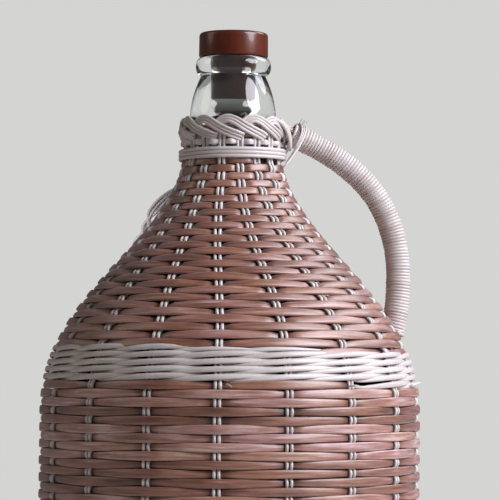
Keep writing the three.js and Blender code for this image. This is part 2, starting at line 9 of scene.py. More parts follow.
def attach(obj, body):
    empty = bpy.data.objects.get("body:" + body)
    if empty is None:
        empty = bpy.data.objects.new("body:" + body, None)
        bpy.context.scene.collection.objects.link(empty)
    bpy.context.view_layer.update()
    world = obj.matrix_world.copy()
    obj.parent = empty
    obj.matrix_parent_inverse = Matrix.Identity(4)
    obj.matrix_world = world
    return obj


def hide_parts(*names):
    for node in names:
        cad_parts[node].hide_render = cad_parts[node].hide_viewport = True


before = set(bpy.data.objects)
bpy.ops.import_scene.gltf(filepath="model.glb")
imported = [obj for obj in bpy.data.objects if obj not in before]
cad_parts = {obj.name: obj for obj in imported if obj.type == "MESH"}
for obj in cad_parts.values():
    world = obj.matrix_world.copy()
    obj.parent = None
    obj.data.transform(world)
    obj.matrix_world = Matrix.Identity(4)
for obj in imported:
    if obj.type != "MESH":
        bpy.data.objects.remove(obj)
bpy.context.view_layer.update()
rng = np.random.default_rng(17)

TAU = 2 * math.pi
MM = 0.001
UP = np.array([0.0, 0, 1])
DOWN = -UP
SIDE = np.array([0.0, 1, 0])

# Sizes in millimetres, as in the part's source
GLASS_WALL = 4
GLASS_BASE_R = 98
GLASS_BODY_R = 109
GLASS_BASE_Z = 11.8
PUNT_DEPTH = 7
HEEL_Z = 73.8
SHOULDER_Z = 177.8
SHOULDER_FULLNESS = 69
NECK_SWEEP = 58
NECK_FLARE = math.radians(6.5)
NECK_Z = 332.8
NECK_R = 25.3
NECK_TOP_Z = 346.8
COLLAR_R = 26.7
COLLAR_Z = 358.8
THROAT_R = 19.8
THROAT_Z = 386.8
BEAD_R = 23.4
LIP_Z = 397.8
BORE_R = 14.6
BORE_Z = 369.8
CAP_R = 21.5
CAP_Z = 398.1
CAP_TOP_Z = 413.3
SHANK_TIP_Z = 369.9
STAKES = 17
STEP = TAU / STAKES
FIRST_PAIR = -3
NECK_LEAN = math.radians(-8.9)
WEAVER_WIDTH = 4.65
ROW_GAP = 0.45
WALE_WIDTH = 3.65
WALE_ROWS = 5
WALE_RISE = 19.5
BINDING_DIAMETER = 1.8
REAR_TURN = 6 * STEP
REAR_TOP_Z = NECK_Z - 13
REAR_HEIGHT = 62

# Sizes in millimetres of the stake line, the rows and the foot
STAKE_OFFSET = 4.3
STAKE_FULLNESS = 1.5
FULLNESS_DROP = 40
LEAN_FROM_Z = 225
LEAN_TO_Z = 335
BODY_START = 4.55
WALE_DROP = 1.7
WALE_PITCH = 4.5
FIRST_ROW_DROP = 2.4
BINDING_RISE = 1.2
BINDING_PITCH = 2.25
FOOT_R = 100.5
FOOT_Z = 4.35


# Curves and the stake line

def bezier(points, count):
    points = np.asarray(points, float)
    n = len(points) - 1
    t = np.linspace(0, 1, count)[:, None]
    return sum(math.comb(n, i) * (1 - t) ** (n - i) * t**i * points[i] for i in range(n + 1))


def through(points, count):
    """A smooth curve through points."""
    points = np.asarray(points, float)
    points = np.vstack([2 * points[0] - points[1], points, 2 * points[-1] - points[-2]])
    t = np.linspace(0, len(points) - 3 - 1e-9, count)
    i = t.astype(int)
    u = (t - i)[:, None]
    a, b, c, d = (points[i + n] for n in range(4))
    return 0.5 * (2 * b + (c - a) * u + (2 * a - 5 * b + 4 * c - d) * u**2 + (3 * b - a - 3 * c + d) * u**3)


def lengths_of(points):
    return np.concatenate([[0], np.cumsum(np.linalg.norm(np.diff(points, axis=0), axis=1))])


def resample(points, step):
    along = lengths_of(points)
    even = np.linspace(0, along[-1], max(int(along[-1] / step), 2))
    return np.stack([np.interp(even, along, points[:, i]) for i in range(points.shape[1])], -1)


def unit(v):
    return v / np.linalg.norm(v, axis=-1, keepdims=True)


def square_to(direction, ahead):
    """The part of a direction that is square to the way ahead, at length 1."""
    return unit(direction - ahead * np.sum(direction * ahead, -1, keepdims=True))


def outward_of(profile):
    d = unit(np.gradient(profile, axis=0))
    return np.stack([d[:, 1], -d[:, 0]], -1)


def smooth_step(x, low, high):
    x = np.clip((x - low) / (high - low), 0, 1)
    return x * x * (3 - 2 * x)


def at_turn(r, z, turn):
    """Points, or directions, from their radial and upright shares at angles round the axis."""
    r, z, turn = np.broadcast_arrays(r, z, turn)
    return np.stack([r * np.cos(turn), r * np.sin(turn), z], -1)


def repeated(direction, points):
    """One direction for each of the points."""
    return np.tile(direction, (len(points), 1))


WAVE_RATES = (0.31, 0.83, 1.57, 2.9)
WAVE_PEAK = 2.4


def wave(p, size, seed):
    """Slow seeded wandering along a strand, about as large as size."""
    phases = np.random.default_rng(seed).uniform(0, TAU, len(WAVE_RATES))
    return size * sum(np.sin(p * rate + phase) for rate, phase in zip(WAVE_RATES, phases)) / WAVE_PEAK


heel_corner = (GLASS_BODY_R, GLASS_BASE_Z + 11)
heel = bezier([(GLASS_BASE_R, GLASS_BASE_Z), heel_corner, (GLASS_BODY_R, HEEL_Z)], 60)
shoulder_curve = bezier(
    [
        (GLASS_BODY_R, SHOULDER_Z),
        (GLASS_BODY_R, SHOULDER_Z + SHOULDER_FULLNESS),
        (NECK_R + NECK_SWEEP * math.sin(NECK_FLARE), NECK_Z - NECK_SWEEP * math.cos(NECK_FLARE)),
        (NECK_R, NECK_Z),
    ],
    160,
)
glass_wall = resample(np.vstack([heel, shoulder_curve, [(NECK_R, NECK_TOP_Z)]]), 1.0)
fullness = STAKE_FULLNESS * smooth_step(-glass_wall[:, 1:], -NECK_Z, -NECK_Z + FULLNESS_DROP)
stake_line = glass_wall + (STAKE_OFFSET + fullness) * outward_of(glass_wall)
stake_out = outward_of(stake_line)
stake_len = lengths_of(stake_line)


def line_at(s):
    """Radius, height and outward direction of the stake line at a length up it."""
    values = [np.interp(s, stake_len, a) for a in (*stake_line.T, *stake_out.T)]
    past = np.maximum(s - stake_len[-1], 0) + np.minimum(s, 0)
    values[1] = values[1] + past
    return values


def lean_at(z):
    """How far the stakes turn round the bottle on their way up the shoulder."""
    return NECK_LEAN * smooth_step(z, LEAN_FROM_Z, LEAN_TO_Z)


def length_at(z):
    return float(np.interp(z, stake_line[:, 1], stake_len))


def radius_at(z):
    return float(np.interp(z, stake_line[:, 1], stake_line[:, 0]))


# Cane: swept sections, gathered into one mesh for each piece

def section(sides, face=0.9, inner=1.0):
    """A rounded section of width and thickness 1.

    A low face is flat, and inner thins the side at the bottle.
    """
    a = TAU * np.arange(sides) / sides
    x = np.sign(np.cos(a)) * np.abs(np.cos(a)) ** face / 2
    x = np.where(x < 0, x * inner, x)
    y = np.sign(np.sin(a)) * np.abs(np.sin(a)) ** 0.85 / 2
    return np.stack([x, y], -1)


ROUND = section(8)
OVAL = section(12)
HALF_ROUND = section(16, 0.42, 0.7)
CUT_END = 0.55
TAPERED_END = 0.25
CANE_UV_LENGTH = 10
LATHE_UV_LENGTH = 100


def tube_faces(along, sides):
    """Quads of a tube with a ring of points at each length.

    With them come the length and the share of the way round at their corners.
    """
    row, column = np.meshgrid(np.arange(len(along) - 1), np.arange(sides), indexing="ij")
    after = (column + 1) % sides
    near = row * sides
    far = near + sides
    quads = np.stack([near + column, near + after, far + after, far + column], -1).reshape(-1, 4)
    lengths = np.stack([along[row], along[row], along[row + 1], along[row + 1]], -1).reshape(-1, 4)
    shares = np.stack([column, column + 1, column + 1, column], -1).reshape(-1, 4) / sides
    return quads, lengths, shares


class Canes:
    def __init__(self):
        self.verts, self.polys, self.tones = [], [], []
        self.count = 0

    def add(self, centre, across, along, width, thick, tone, shape=ROUND, loop=False, taper=0.0):
        """One cane. across is its outward side, along its width, and tone picks its colour."""
        sizes = np.stack([np.broadcast_to(a, len(centre)) for a in (width, thick, tone)], -1).astype(float)
        if loop:
            centre, across, along, sizes = (np.vstack([a, a[:1]]) for a in (centre, across, along, sizes))
        n, m = len(centre), len(shape)
        width, thick, tone = sizes.T.copy()
        length = lengths_of(centre)
        if not loop:
            for end in (0, -1):
                width[end] *= CUT_END
                thick[end] *= CUT_END
        if taper:
            left = np.clip((length[-1] - length) / taper, 0, 1)
            width *= TAPERED_END + (1 - TAPERED_END) * left
            thick *= TAPERED_END + (1 - TAPERED_END) * left
        ring = (
            centre[:, None]
            + across[:, None] * (shape[None, :, :1] * thick[:, None, None])
            + along[:, None] * (shape[None, :, 1:] * width[:, None, None])
        )
        u = length / CANE_UV_LENGTH
        quads, lengths, shares = tube_faces(u, m)
        self.polys.append((quads + self.count, np.stack([lengths, shares], -1)))
        if not loop:
            caps = np.stack([np.arange(m)[::-1], (n - 1) * m + np.arange(m)])
            self.polys.append((caps + self.count, np.zeros((2, m, 2)) + u[-1]))
        self.verts.append(ring.reshape(-1, 3))
        self.tones.append(np.repeat(tone, m))
        self.count += n * m

    def make(self, name, material, slot, nodes, body="basket"):
        return piece(name, self.verts, self.polys, self.tones, material, nodes, body)


def piece(name, verts, polys, tones, material, nodes, body):
    """A smooth mesh from points and faces, with UVs, riding its body in place of its nodes."""
    co = np.concatenate(verts) * MM
    corner = np.concatenate([f.ravel() for f, _ in polys])
    sizes = np.concatenate([np.full(len(f), f.shape[1]) for f, _ in polys])
    mesh = bpy.data.meshes.new(name)
    mesh.vertices.add(len(co))
    mesh.vertices.foreach_set("co", co.astype(np.float32).ravel())
    mesh.loops.add(len(corner))
    mesh.loops.foreach_set("vertex_index", corner.astype(np.int32))
    mesh.polygons.add(len(sizes))
    mesh.polygons.foreach_set("loop_start", (np.cumsum(sizes) - sizes).astype(np.int32))
    mesh.polygons.foreach_set("loop_total", sizes.astype(np.int32))
    mesh.polygons.foreach_set("use_smooth", np.ones(len(sizes), bool))
    layer = mesh.uv_layers.new(name="UVMap")
    layer.data.foreach_set("uv", np.concatenate([t.reshape(-1) for _, t in polys]).astype(np.float32))
    if tones is not None:
        tone = mesh.attributes.new("tone", "FLOAT", "POINT")
        tone.data.foreach_set("value", np.concatenate(tones).astype(np.float32))
    mesh.update(calc_edges=True)
    mesh.validate()
    mesh.materials.append(material)
    obj = bpy.data.objects.new(name, mesh)
    bpy.context.collection.objects.link(obj)
    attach(obj, body)
    if nodes:
        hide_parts(*nodes)
    return obj


def lathe(name, profile, segments, material, nodes, body):
    """Revolves a profile of (radius, height) points that starts and ends on the axis."""
    r, z = np.asarray(profile, float).T
    turn = TAU * np.arange(segments) / segments
    ring = at_turn(r[1:-1, None], z[1:-1, None], turn[None])
    poles = np.array([[0, 0, z[0]], [0, 0, z[-1]]])
    first = len(poles)
    last = first + (len(ring) - 1) * segments
    along = lengths_of(np.stack([r, z], -1)) / LATHE_UV_LENGTH
    quads, lengths, shares = tube_faces(along[1:-1], segments)
    a = np.arange(segments)
    b = (a + 1) % segments
    first_fan = np.stack([a * 0, first + b, first + a], -1)
    last_fan = np.stack([a * 0 + 1, last + a, last + b], -1)
    fans = np.vstack([first_fan, last_fan])
    polys = [(quads + first, np.stack([shares, lengths], -1)), (fans, np.zeros((len(fans), 3, 2)))]
    return piece(name, [poles, ring.reshape(-1, 3)], polys, None, material, nodes, body)


# Materials

class Nodes:
    """A new node material, with short calls for its nodes."""

    def __init__(self, name):
        self.material = bpy.data.materials.new(name)
        self.material.use_nodes = True
        self.tree = self.material.node_tree
        self.shader = self.tree.nodes["Principled BSDF"]

    def node(self, kind, inputs=(), **settings):
        made = self.tree.nodes.new("ShaderNode" + kind)
        for key, value in settings.items():
            setattr(made, key, value)
        for key, value in dict(inputs).items():
            if isinstance(value, bpy.types.NodeSocket):
                self.tree.links.new(value, made.inputs[key])
            else:
                made.inputs[key].default_value = value
        return made

    def place(self, kind):
        return self.node("TexCoord").outputs[kind]

    def stretched(self, vector, scale):
        return self.node("Mapping", {"Vector": vector, "Scale": scale}).outputs[0]

    def math(self, operation, a, b):
        return self.node("Math", {0: a, 1: b}, operation=operation).outputs[0]

    def swing(self, value, size):
        """A value from 0 to 1, centred on 0 and sized."""
        return self.math("MULTIPLY", self.math("SUBTRACT", value, 0.5), size)

    def spread(self, value, low, high, start=0.0, end=1.0):
        """A value that goes from start to end, made to go from low to high."""
        return self.node("MapRange", {0: value, 1: start, 2: end, 3: low, 4: high}).outputs[0]

    def times(self, colour, shade):
        inputs = {0: 1.0, 6: colour, 7: shade}
        return self.node("Mix", inputs, data_type="RGBA", blend_type="MULTIPLY").outputs[2]

    def noise(self, vector, scale, detail=4.0, roughness=0.55):
        inputs = {"Vector": vector, "Scale": scale, "Detail": detail, "Roughness": roughness}
        return self.node("TexNoise", inputs).outputs[0]

    def ramp(self, value, stops):
        made = self.node("ValToRGB", {0: value})
        elements = made.color_ramp.elements
        while len(elements) < len(stops):
            elements.new(0.5)
        for element, (place, colour) in zip(elements, stops):
            element.position = place
            element.color = (*colour, 1)
        return made.outputs[0]

    def bump(self, height, strength, distance):
        inputs = {"Height": height, "Strength": strength, "Distance": distance}
        return self.node("Bump", inputs).outputs[0]

    def set(self, **values):
        for key, value in values.items():
            socket = self.shader.inputs[key.replace("_", " ")]
            if isinstance(value, bpy.types.NodeSocket):
                self.tree.links.new(value, socket)
            else:
                socket.default_value = value


def cane_material(name, stops, gloss, grain, gold, coat):
    """Cane with fibres along it, patches of tone, golden stretches and a satin skin."""
    m = Nodes(name)
    tone = m.node("Attribute", attribute_name="tone").outputs["Fac"]
    uv = m.place("UV")
    fibre = m.noise(m.stretched(uv, (0.35, 9, 1)), scale=1.0, detail=5.0, roughness=0.62)
    patch = m.noise(m.stretched(uv, (0.35, 1.1, 1)), scale=1.0, detail=3.0)
    mixed = m.math("ADD", tone, m.swing(patch, 0.55))
    mixed = m.math("ADD", mixed, m.swing(fibre, grain))
    warm = m.noise(m.stretched(uv, (0.06, 0, 1)), scale=1.0, detail=2.0)
    golden = m.ramp(m.spread(warm, 0.0, 1.0, start=0.42, end=0.66), [(0.0, (1, 1, 1)), (1.0, gold)])
    soil = m.noise(m.place("Object"), scale=55.0, detail=3.0)
    m.set(
        Base_Color=m.times(m.times(m.ramp(mixed, stops), golden), m.spread(soil, 0.78, 1.12)),
        Roughness=m.spread(fibre, gloss - 0.1, gloss + 0.14),
        Normal=m.bump(m.math("ADD", fibre, m.math("MULTIPLY", patch, 0.6)), strength=0.35, distance=0.0004),
        Specular_IOR_Level=0.75,
        Coat_Weight=coat,
        Coat_Roughness=0.5,
        Sheen_Weight=0.2,
        Sheen_Roughness=0.5,
        Sheen_Tint=(0.75, 0.78, 1, 1),
    )
    return m.material


brown = cane_material(
    "brown_cane",
    [
        (0.0, (0.075, 0.022, 0.011)),
        (0.28, (0.185, 0.068, 0.036)),
        (0.52, (0.295, 0.121, 0.08)),
        (0.78, (0.45, 0.24, 0.215)),
        (1.0, (0.63, 0.45, 0.45)),
    ],
    gloss=0.38,
    grain=1.7,
    gold=(1.0, 0.94, 0.66),
    coat=0.7,
)
cream = cane_material(
    "peeled_cane",
    [
        (0.0, (0.34, 0.22, 0.17)),
        (0.25, (0.51, 0.395, 0.335)),
        (0.55, (0.64, 0.57, 0.54)),
        (1.0, (0.73, 0.69, 0.675)),
    ],
    gloss=0.42,
    grain=0.55,
    gold=(1.0, 0.98, 0.93),
    coat=0.0,
)


def glass_material():
    """Clear glass with ripples and smears.

    It is darkened inside the basket as painted shade, so that no light shows through the weave.
    """
    # Painted shade: the glass is darkened to this share inside the basket.
    shade_in_basket = 0.22
    hidden_below = 0.33
    clear_above = 0.352
    m = Nodes("bottle_glass")
    place = m.place("Object")
    ripple = m.noise(place, scale=22.0, detail=2.0)
    smear = m.noise(place, scale=9.0, detail=5.0, roughness=0.7)
    clear = m.ramp(smear, [(0.3, (0.86, 0.9, 0.88)), (0.75, (0.93, 0.955, 0.94))])
    height = m.node("SeparateXYZ", {0: place}).outputs["Z"]
    m.set(
        Base_Color=m.times(clear, m.spread(height, shade_in_basket, 1.0, hidden_below, clear_above)),
        Roughness=m.spread(smear, 0.0, 0.07),
        Normal=m.bump(ripple, strength=0.12, distance=0.002),
        Transmission_Weight=1.0,
        IOR=1.5,
    )
    return m.material


def plastic_material():
    """Reddish-brown plastic with clouds, streaks and scuffs, glossy at the cap, with the shank darkened as
    painted shade.
    """
    m = Nodes("stopper_plastic")
    place = m.place("Object")
    cloud = m.noise(place, scale=38.0, detail=4.0)
    scuff = m.noise(m.stretched(place, (1, 1, 9)), scale=160.0, detail=6.0, roughness=0.7)
    streak = m.noise(m.stretched(place, (1, 1, 0.12)), scale=190.0, detail=3.0)
    colour = m.ramp(
        m.math("ADD", m.math("MULTIPLY", cloud, 0.6), m.math("MULTIPLY", streak, 0.4)),
        [(0.36, (0.048, 0.008, 0.004)), (0.64, (0.135, 0.024, 0.009))],
    )
    height = m.node("SeparateXYZ", {0: place}).outputs["Z"]
    cap_share = m.spread(height, 0.0, 1.0, start=(CAP_Z - 2) * MM, end=CAP_Z * MM)
    m.set(
        # Painted shade: the shank below the cap is darkened.
        Base_Color=m.times(colour, m.spread(cap_share, 0.45, 1.0)),
        Roughness=m.spread(scuff, 0.22, 0.42),
        Normal=m.bump(scuff, strength=0.08, distance=0.0003),
        Specular_IOR_Level=m.spread(cap_share, 0.05, 0.35),
        Coat_Weight=m.spread(cap_share, 0.0, 0.35),
        Coat_Roughness=0.1,
    )
    return m.material


# Bottle and stopper

def rounded(corner, before, after, count=6):
    return bezier([before, corner, after], count)


GLASS_SEGMENTS = 96
STOPPER_SEGMENTS = 72
bead_z = (THROAT_Z + LIP_Z) / 2
inner_collar_r = COLLAR_R - 4.5
inner_wall = glass_wall - GLASS_WALL * outward_of(glass_wall)
inner_wall = inner_wall[(inner_wall[:, 1] > 40) & (inner_wall[:, 1] < NECK_TOP_Z - 6)]
outer_wall = glass_wall[glass_wall[:, 1] < NECK_TOP_Z - 5]
punt_z = GLASS_BASE_Z + PUNT_DEPTH
outside = np.vstack(
    [
        bezier([(0, punt_z), (50, punt_z), (84, GLASS_BASE_Z), (94, GLASS_BASE_Z)], 16),
        outer_wall[::3],
        bezier(
            [
                (NECK_R, NECK_TOP_Z - 4),
                (NECK_R, NECK_TOP_Z + 4),
                (COLLAR_R, COLLAR_Z - 6),
                (COLLAR_R, COLLAR_Z),
            ],
            14,
        ),
        bezier([(COLLAR_R, COLLAR_Z), (COLLAR_R, COLLAR_Z + 14), (THROAT_R, THROAT_Z)], 24)[1:-1],
        bezier(
            [
                (THROAT_R, THROAT_Z),
                (BEAD_R - 1, THROAT_Z),
                (BEAD_R, THROAT_Z + 2.6),
                (BEAD_R, bead_z),
            ],
            10,
        ),
        bezier([(BEAD_R, bead_z), (BEAD_R, LIP_Z - 2), (BEAD_R - 1.6, LIP_Z), (BEAD_R - 4, LIP_Z)], 10)[1:],
    ]
)
inside = np.vstack(
    [
        bezier([(BORE_R + 2, LIP_Z), (BORE_R, LIP_Z), (BORE_R, LIP_Z - 2)], 6),
        bezier(
            [
                (BORE_R, BORE_Z),
                (BORE_R, BORE_Z - 8),
                (inner_collar_r, COLLAR_Z - 2),
                (inner_collar_r, COLLAR_Z - 6),
            ],
            10,
        ),
        inner_wall[::-3],
        bezier([(GLASS_BODY_R - 6, 34), (GLASS_BASE_R - 2, 23), (60, 22), (0, 26)], 16),
    ]
)
shell = np.vstack([outside, inside])
lathe("glass_shell", shell, GLASS_SEGMENTS, glass_material(), ["glass_bottle"], "basket")

cap_dish_z = CAP_TOP_Z - 0.5
cap = np.vstack(
    [
        [(0, SHANK_TIP_Z), (BORE_R - 2.2, SHANK_TIP_Z)],
        rounded((BORE_R - 0.8, SHANK_TIP_Z), (BORE_R - 1.8, SHANK_TIP_Z), (BORE_R - 0.8, SHANK_TIP_Z + 1)),
        [(BORE_R - 0.3, CAP_Z - 0.4), (BORE_R + 0.2, CAP_Z)],
        rounded((CAP_R, CAP_Z), (CAP_R - 1.2, CAP_Z), (CAP_R, CAP_Z + 1.2)),
        rounded((CAP_R - 0.2, CAP_TOP_Z), (CAP_R - 0.1, CAP_TOP_Z - 2.4), (CAP_R - 2.6, CAP_TOP_Z), 9),
        rounded((CAP_R - 4.4, CAP_TOP_Z), (CAP_R - 4, CAP_TOP_Z), (CAP_R - 5.2, cap_dish_z), 4),
        [(0, cap_dish_z)],
    ]
)
lathe("stopper_cap", cap, STOPPER_SEGMENTS, plastic_material(), ["stopper"], "stopper")


# Weave

PAIR_HALF_WIDTH = 2.1
TUCK_LENGTH = 4
CROWDED_SPACING = 13
FREE_SPACING = 27


def plain(k):
    """1 in front of an even pair of stakes, and -1 behind an odd one."""
    return 1 - 2 * (np.asarray(k) % 2)


def dips(p, r, flip):
    """How far a strand tucks behind a pair of stakes and rides over the next, and how freely it bends.

    Each goes from 0 to 1. Where the pairs stand close, the strand lies flat over them.
    """
    k = np.round(p).astype(int)
    spacing = r * STEP
    apart = np.abs(p - k)
    reach = np.minimum(spacing / 2 - PAIR_HALF_WIDTH, TUCK_LENGTH)
    tuck = (1 + np.cos(np.pi * np.clip((apart * spacing - PAIR_HALF_WIDTH) / reach, 0, 1))) / 2
    behind = plain(k + flip) < 0
    far = np.where(behind, 1 - apart, apart)
    long_ride = (1 + np.cos(np.pi * far)) / 2
    flat_ride = 1 - smooth_step(far, 0.4, 1.0)
    free = smooth_step(spacing, CROWDED_SPACING, FREE_SPACING)
    return np.where(behind, tuck, 0), flat_ride + (long_ride - flat_ride) * free, free


def on_weave(s, p, out):
    """Points at a length up the stakes and p pairs round them, with their outward and upward directions."""
    r, z, nr, nz = line_at(s)
    turn = p * STEP + lean_at(z)
    return at_turn(r + nr * out, z + nz * out, turn), at_turn(nr, nz, turn), at_turn(-nz, nr, turn)


def fill_rows(start, next_start, width, next_width, next_pitch):
    """How many rows fit between two bands, and how far apart they lie."""
    room = next_start - start - (width + next_width) / 2 - ROW_GAP + next_pitch
    rows = int(room / (width + ROW_GAP))
    return rows, room / rows


band_start = length_at(SHOULDER_Z + WALE_RISE)
wale_start = band_start - WALE_DROP
wale_last_row = wale_start + WALE_PITCH * (WALE_ROWS - 1)
binding_start = length_at(NECK_Z) + BINDING_RISE
body_rows, body_pitch = fill_rows(BODY_START, wale_start, WEAVER_WIDTH, WALE_WIDTH, WALE_PITCH)
shoulder_start = wale_last_row + (WALE_WIDTH + WEAVER_WIDTH) / 2 + ROW_GAP - FIRST_ROW_DROP
shoulder_rows, shoulder_pitch = fill_rows(
    shoulder_start, binding_start, WEAVER_WIDTH, BINDING_DIAMETER, BINDING_PITCH
)


# How far brown cane rides out over a pair and tucks in behind it, and what wide spacing adds to each
RIDE_OUT = 0.8
FREE_RIDE_OUT = 0.9
TUCK_IN = 1.0
FREE_TUCK_IN = 0.9
SEAT = 0.1
# How far the first row on the shoulder drops and sinks behind the wale
LEAD_DROP = 1.6
LEAD_SINK = 1.5
DEEPEST = -2.5
BROWN_THICKNESS = 1.7
FREE_THICKNESS = 0.5
BROWN_TONE = 0.45
BROWN_TONE_SPREAD = 0.115


def weaver(start, pitch, rows, flip, seed, lead=0.0):
    """Brown cane woven in lengths that begin and end behind a pair of stakes.

    With a lead, the first row comes up from behind the band below it.
    """
    canes = Canes()
    first = FIRST_PAIR - (FIRST_PAIR + flip + 1) % 2
    last = FIRST_PAIR + rows * STAKES
    last -= (last + flip + 1) % 2
    while first < last:
        end = min(first + 2 * int(rng.integers(13, 34)), last)
        if last - end < 8:
            end = last
        p = np.arange(max(first, FIRST_PAIR - lead), end + 1e-6, 1 / 10)
        s = start + pitch * (p - FIRST_PAIR) / STAKES + wave(p, 0.2, seed) + wave(p * 2.3, 0.1, seed + 1)
        tuck, ride, free = dips(p, line_at(s)[0], flip)
        out = SEAT + (RIDE_OUT + FREE_RIDE_OUT * free) * ride - (TUCK_IN + FREE_TUCK_IN * free) * tuck
        if lead:
            sunk = 1 - smooth_step(p, FIRST_PAIR, FIRST_PAIR + STAKES)
            s = s - LEAD_DROP * smooth_step(-p, -FIRST_PAIR, lead - FIRST_PAIR)
            out = np.maximum(out - LEAD_SINK * sunk, DEEPEST)
        cane_tone = float(np.clip(rng.normal(BROWN_TONE, BROWN_TONE_SPREAD), 0.12, 0.8))
        tone = cane_tone + wave(p * 0.6, 0.08, seed + 2)
        # Painted shade: each cane is darkened where it tucks behind a pair of stakes, most where the pairs
        # stand far apart. Painted light: it is a little lighter where it rides out over a pair.
        tone = tone + 0.08 * ride - (0.1 + 0.35 * free) * tuck
        close = 0.84 + 0.06 * ride
        wide = 0.82 + 0.42 * ride - 0.18 * ride**2
        width = pitch * (close + (wide - close) * free)
        width = width * (1 + wave(p, 0.03, seed + 3)) * rng.uniform(0.97, 1.03)
        thick = (BROWN_THICKNESS + FREE_THICKNESS * free) * (1 + wave(p, 0.04, seed + 4))
        canes.add(*on_weave(s, p, out), width, thick, tone, HALF_ROUND)
        first = end
        seed += 7
    return canes


body_weave = weaver(BODY_START, body_pitch, body_rows, flip=0, seed=100)
body_weave.make("body_weave", brown, "brown_cane", ["body_weaver"])
shoulder_weave = weaver(shoulder_start, shoulder_pitch, shoulder_rows, flip=1, seed=900, lead=1.0)
shoulder_weave.make("shoulder_weave", brown, "brown_cane", ["shoulder_weaver"])

# Wale: each row is a pair of strands. A stroke climbs in front of a stake, then drops behind the next one.
CANE_PAIRS = 14
CLIMB_SHARE = 0.8
WALE_CLIMB = 1.6
WALE_SWING = 1.6
WALE_SEAT = 0.6
WALE_CANE = 2.9
WALE_THICKNESS = 2.1
wale = Canes()
wale_last = WALE_ROWS * STAKES - 1
for first in range(0, wale_last, CANE_PAIRS):
    for phase in (0, 1):
        p = np.arange(first + phase, min(first + CANE_PAIRS, wale_last) + phase + 1e-6, 1 / 12)
        part = (p - phase) % 2 - 1
        front = np.cos(np.pi * part)
        drop = np.sign(part) * (1 - np.abs(part)) / (1 - CLIMB_SHARE)
        climb = np.where(np.abs(part) < CLIMB_SHARE, part / CLIMB_SHARE, drop)
        ending = smooth_step(p - phase, wale_last - 2, wale_last)
        s = wale_start + WALE_PITCH * p / STAKES + WALE_CLIMB * climb + wave(p, 0.16, 41 + phase)
        s = s - 2.2 * ending
        out = WALE_SEAT + WALE_SWING * front - 0.8 * ending
        tone = rng.uniform(0.5, 0.9) + wave(p, 0.06, 42 + first)
        width = (WALE_CANE + 0.65 * front + wave(p, 0.12, 43 + first)) * (1 - 0.6 * ending)
        wale.add(*on_weave(s, p + FIRST_PAIR, out), width, WALE_THICKNESS, tone, OVAL)
wale.make("wale_band", cream, "peeled_cane", ["shoulder_wale"])

# Stakes: pairs of rods, bowed in and out by the rows that pass them
ROD_WIDTH = 2.05
ROD_THICKNESS = 2.1
ROD_APART = 1.42
ROD_BOW = 1.05
ROD_STEP = 1.3
ROD_FOOT = 0.4
ROD_HEAD = 14
stake_top = binding_start + BINDING_PITCH * 2 + ROD_HEAD
stakes = Canes()
for pair in range(STAKES):
    number = (pair - FIRST_PAIR) % STAKES + FIRST_PAIR
    for side in (-1, 1):
        s = np.arange(ROD_FOOT, stake_top, ROD_STEP)
        r, z, nr, nz = line_at(s)
        bow = np.zeros(len(s))
        for start, pitch, rows, flip in (
            (BODY_START, body_pitch, body_rows, 0),
            (shoulder_start, shoulder_pitch, shoulder_rows, 1),
        ):
            q = (s - start) / pitch - (number - FIRST_PAIR) / STAKES
            in_band = (q > -0.5) & (q < rows - 0.5)
            bow += np.where(in_band, -ROD_BOW * plain(number + flip) * np.cos(np.pi * q), 0)
        seed = 2000 + 2 * pair + side
        apart = side * ROD_APART + wave(s * 0.11, 0.18, seed)
        turn = pair * STEP + lean_at(z)
        tangent = np.stack([-np.sin(turn), np.cos(turn), 0 * turn], -1)
        centre = at_turn(r + nr * bow, z + nz * bow, turn) + tangent * apart[:, None]
        tone = rng.uniform(0.45, 0.9) + wave(s * 0.2, 0.08, seed + 50)
        stakes.add(centre, at_turn(nr, nz, turn), tangent, ROD_WIDTH, ROD_THICKNESS, tone)
stake_nodes = [f"stake_{pair:02d}{rod}" for pair in range(1, STAKES + 1) for rod in "ab"]
stakes.make("stake_rods", cream, "peeled_cane", stake_nodes)


# Neck: binding, the row above it, and the border

COIL_START = 4 * STEP + NECK_LEAN
COIL_TURNS = 2.95
COIL_R = 32.4
COIL_CANE = 2.3
COIL_SINK = 2.4
END_TURN = 0.4
coil = Canes()
turn = np.linspace(0, COIL_TURNS * TAU, 260)
z = line_at(binding_start + BINDING_PITCH * turn / TAU - 0.5)[1]
turn = turn + COIL_START
sunk = smooth_step(-turn, -turn[0] - END_TURN, -turn[0]) + smooth_step(turn, turn[-1] - END_TURN, turn[-1])
centre = at_turn(COIL_R - COIL_SINK * sunk, z, turn)
tone = 0.75 + wave(turn * 2, 0.09, 61)
coil.add(centre, at_turn(1.0, 0.0, turn), repeated(UP, turn), COIL_CANE, COIL_CANE, tone, OVAL)
coil.make("neck_binding_coil", cream, "peeled_cane", ["neck_binding"])

NECK_ROW_RISE = 3.9
NECK_ROW_SWING = 1.6
NECK_ROW_WIDTH = 3.3
NECK_ROW_THICKNESS = 2.1
neck_row = Canes()
p = np.arange(0, STAKES, 1 / 10)
r, z, nr, nz = line_at(binding_start + BINDING_PITCH * 2.5 + NECK_ROW_RISE + wave(p, 0.12, 63))
bulge = SEAT - NECK_ROW_SWING * np.cos(TAU * p)
turn = p * STEP + NECK_LEAN
centre = at_turn(r + nr * bulge, z, turn)
width = NECK_ROW_WIDTH - 0.3 * np.cos(TAU * p)
out = at_turn(1.0, 0.0, turn)
neck_row.add(centre, out, repeated(UP, p), width, NECK_ROW_THICKNESS, 0.85, OVAL, loop=True)
neck_row.make("neck_row_cane", cream, "peeled_cane", ["neck_row"])

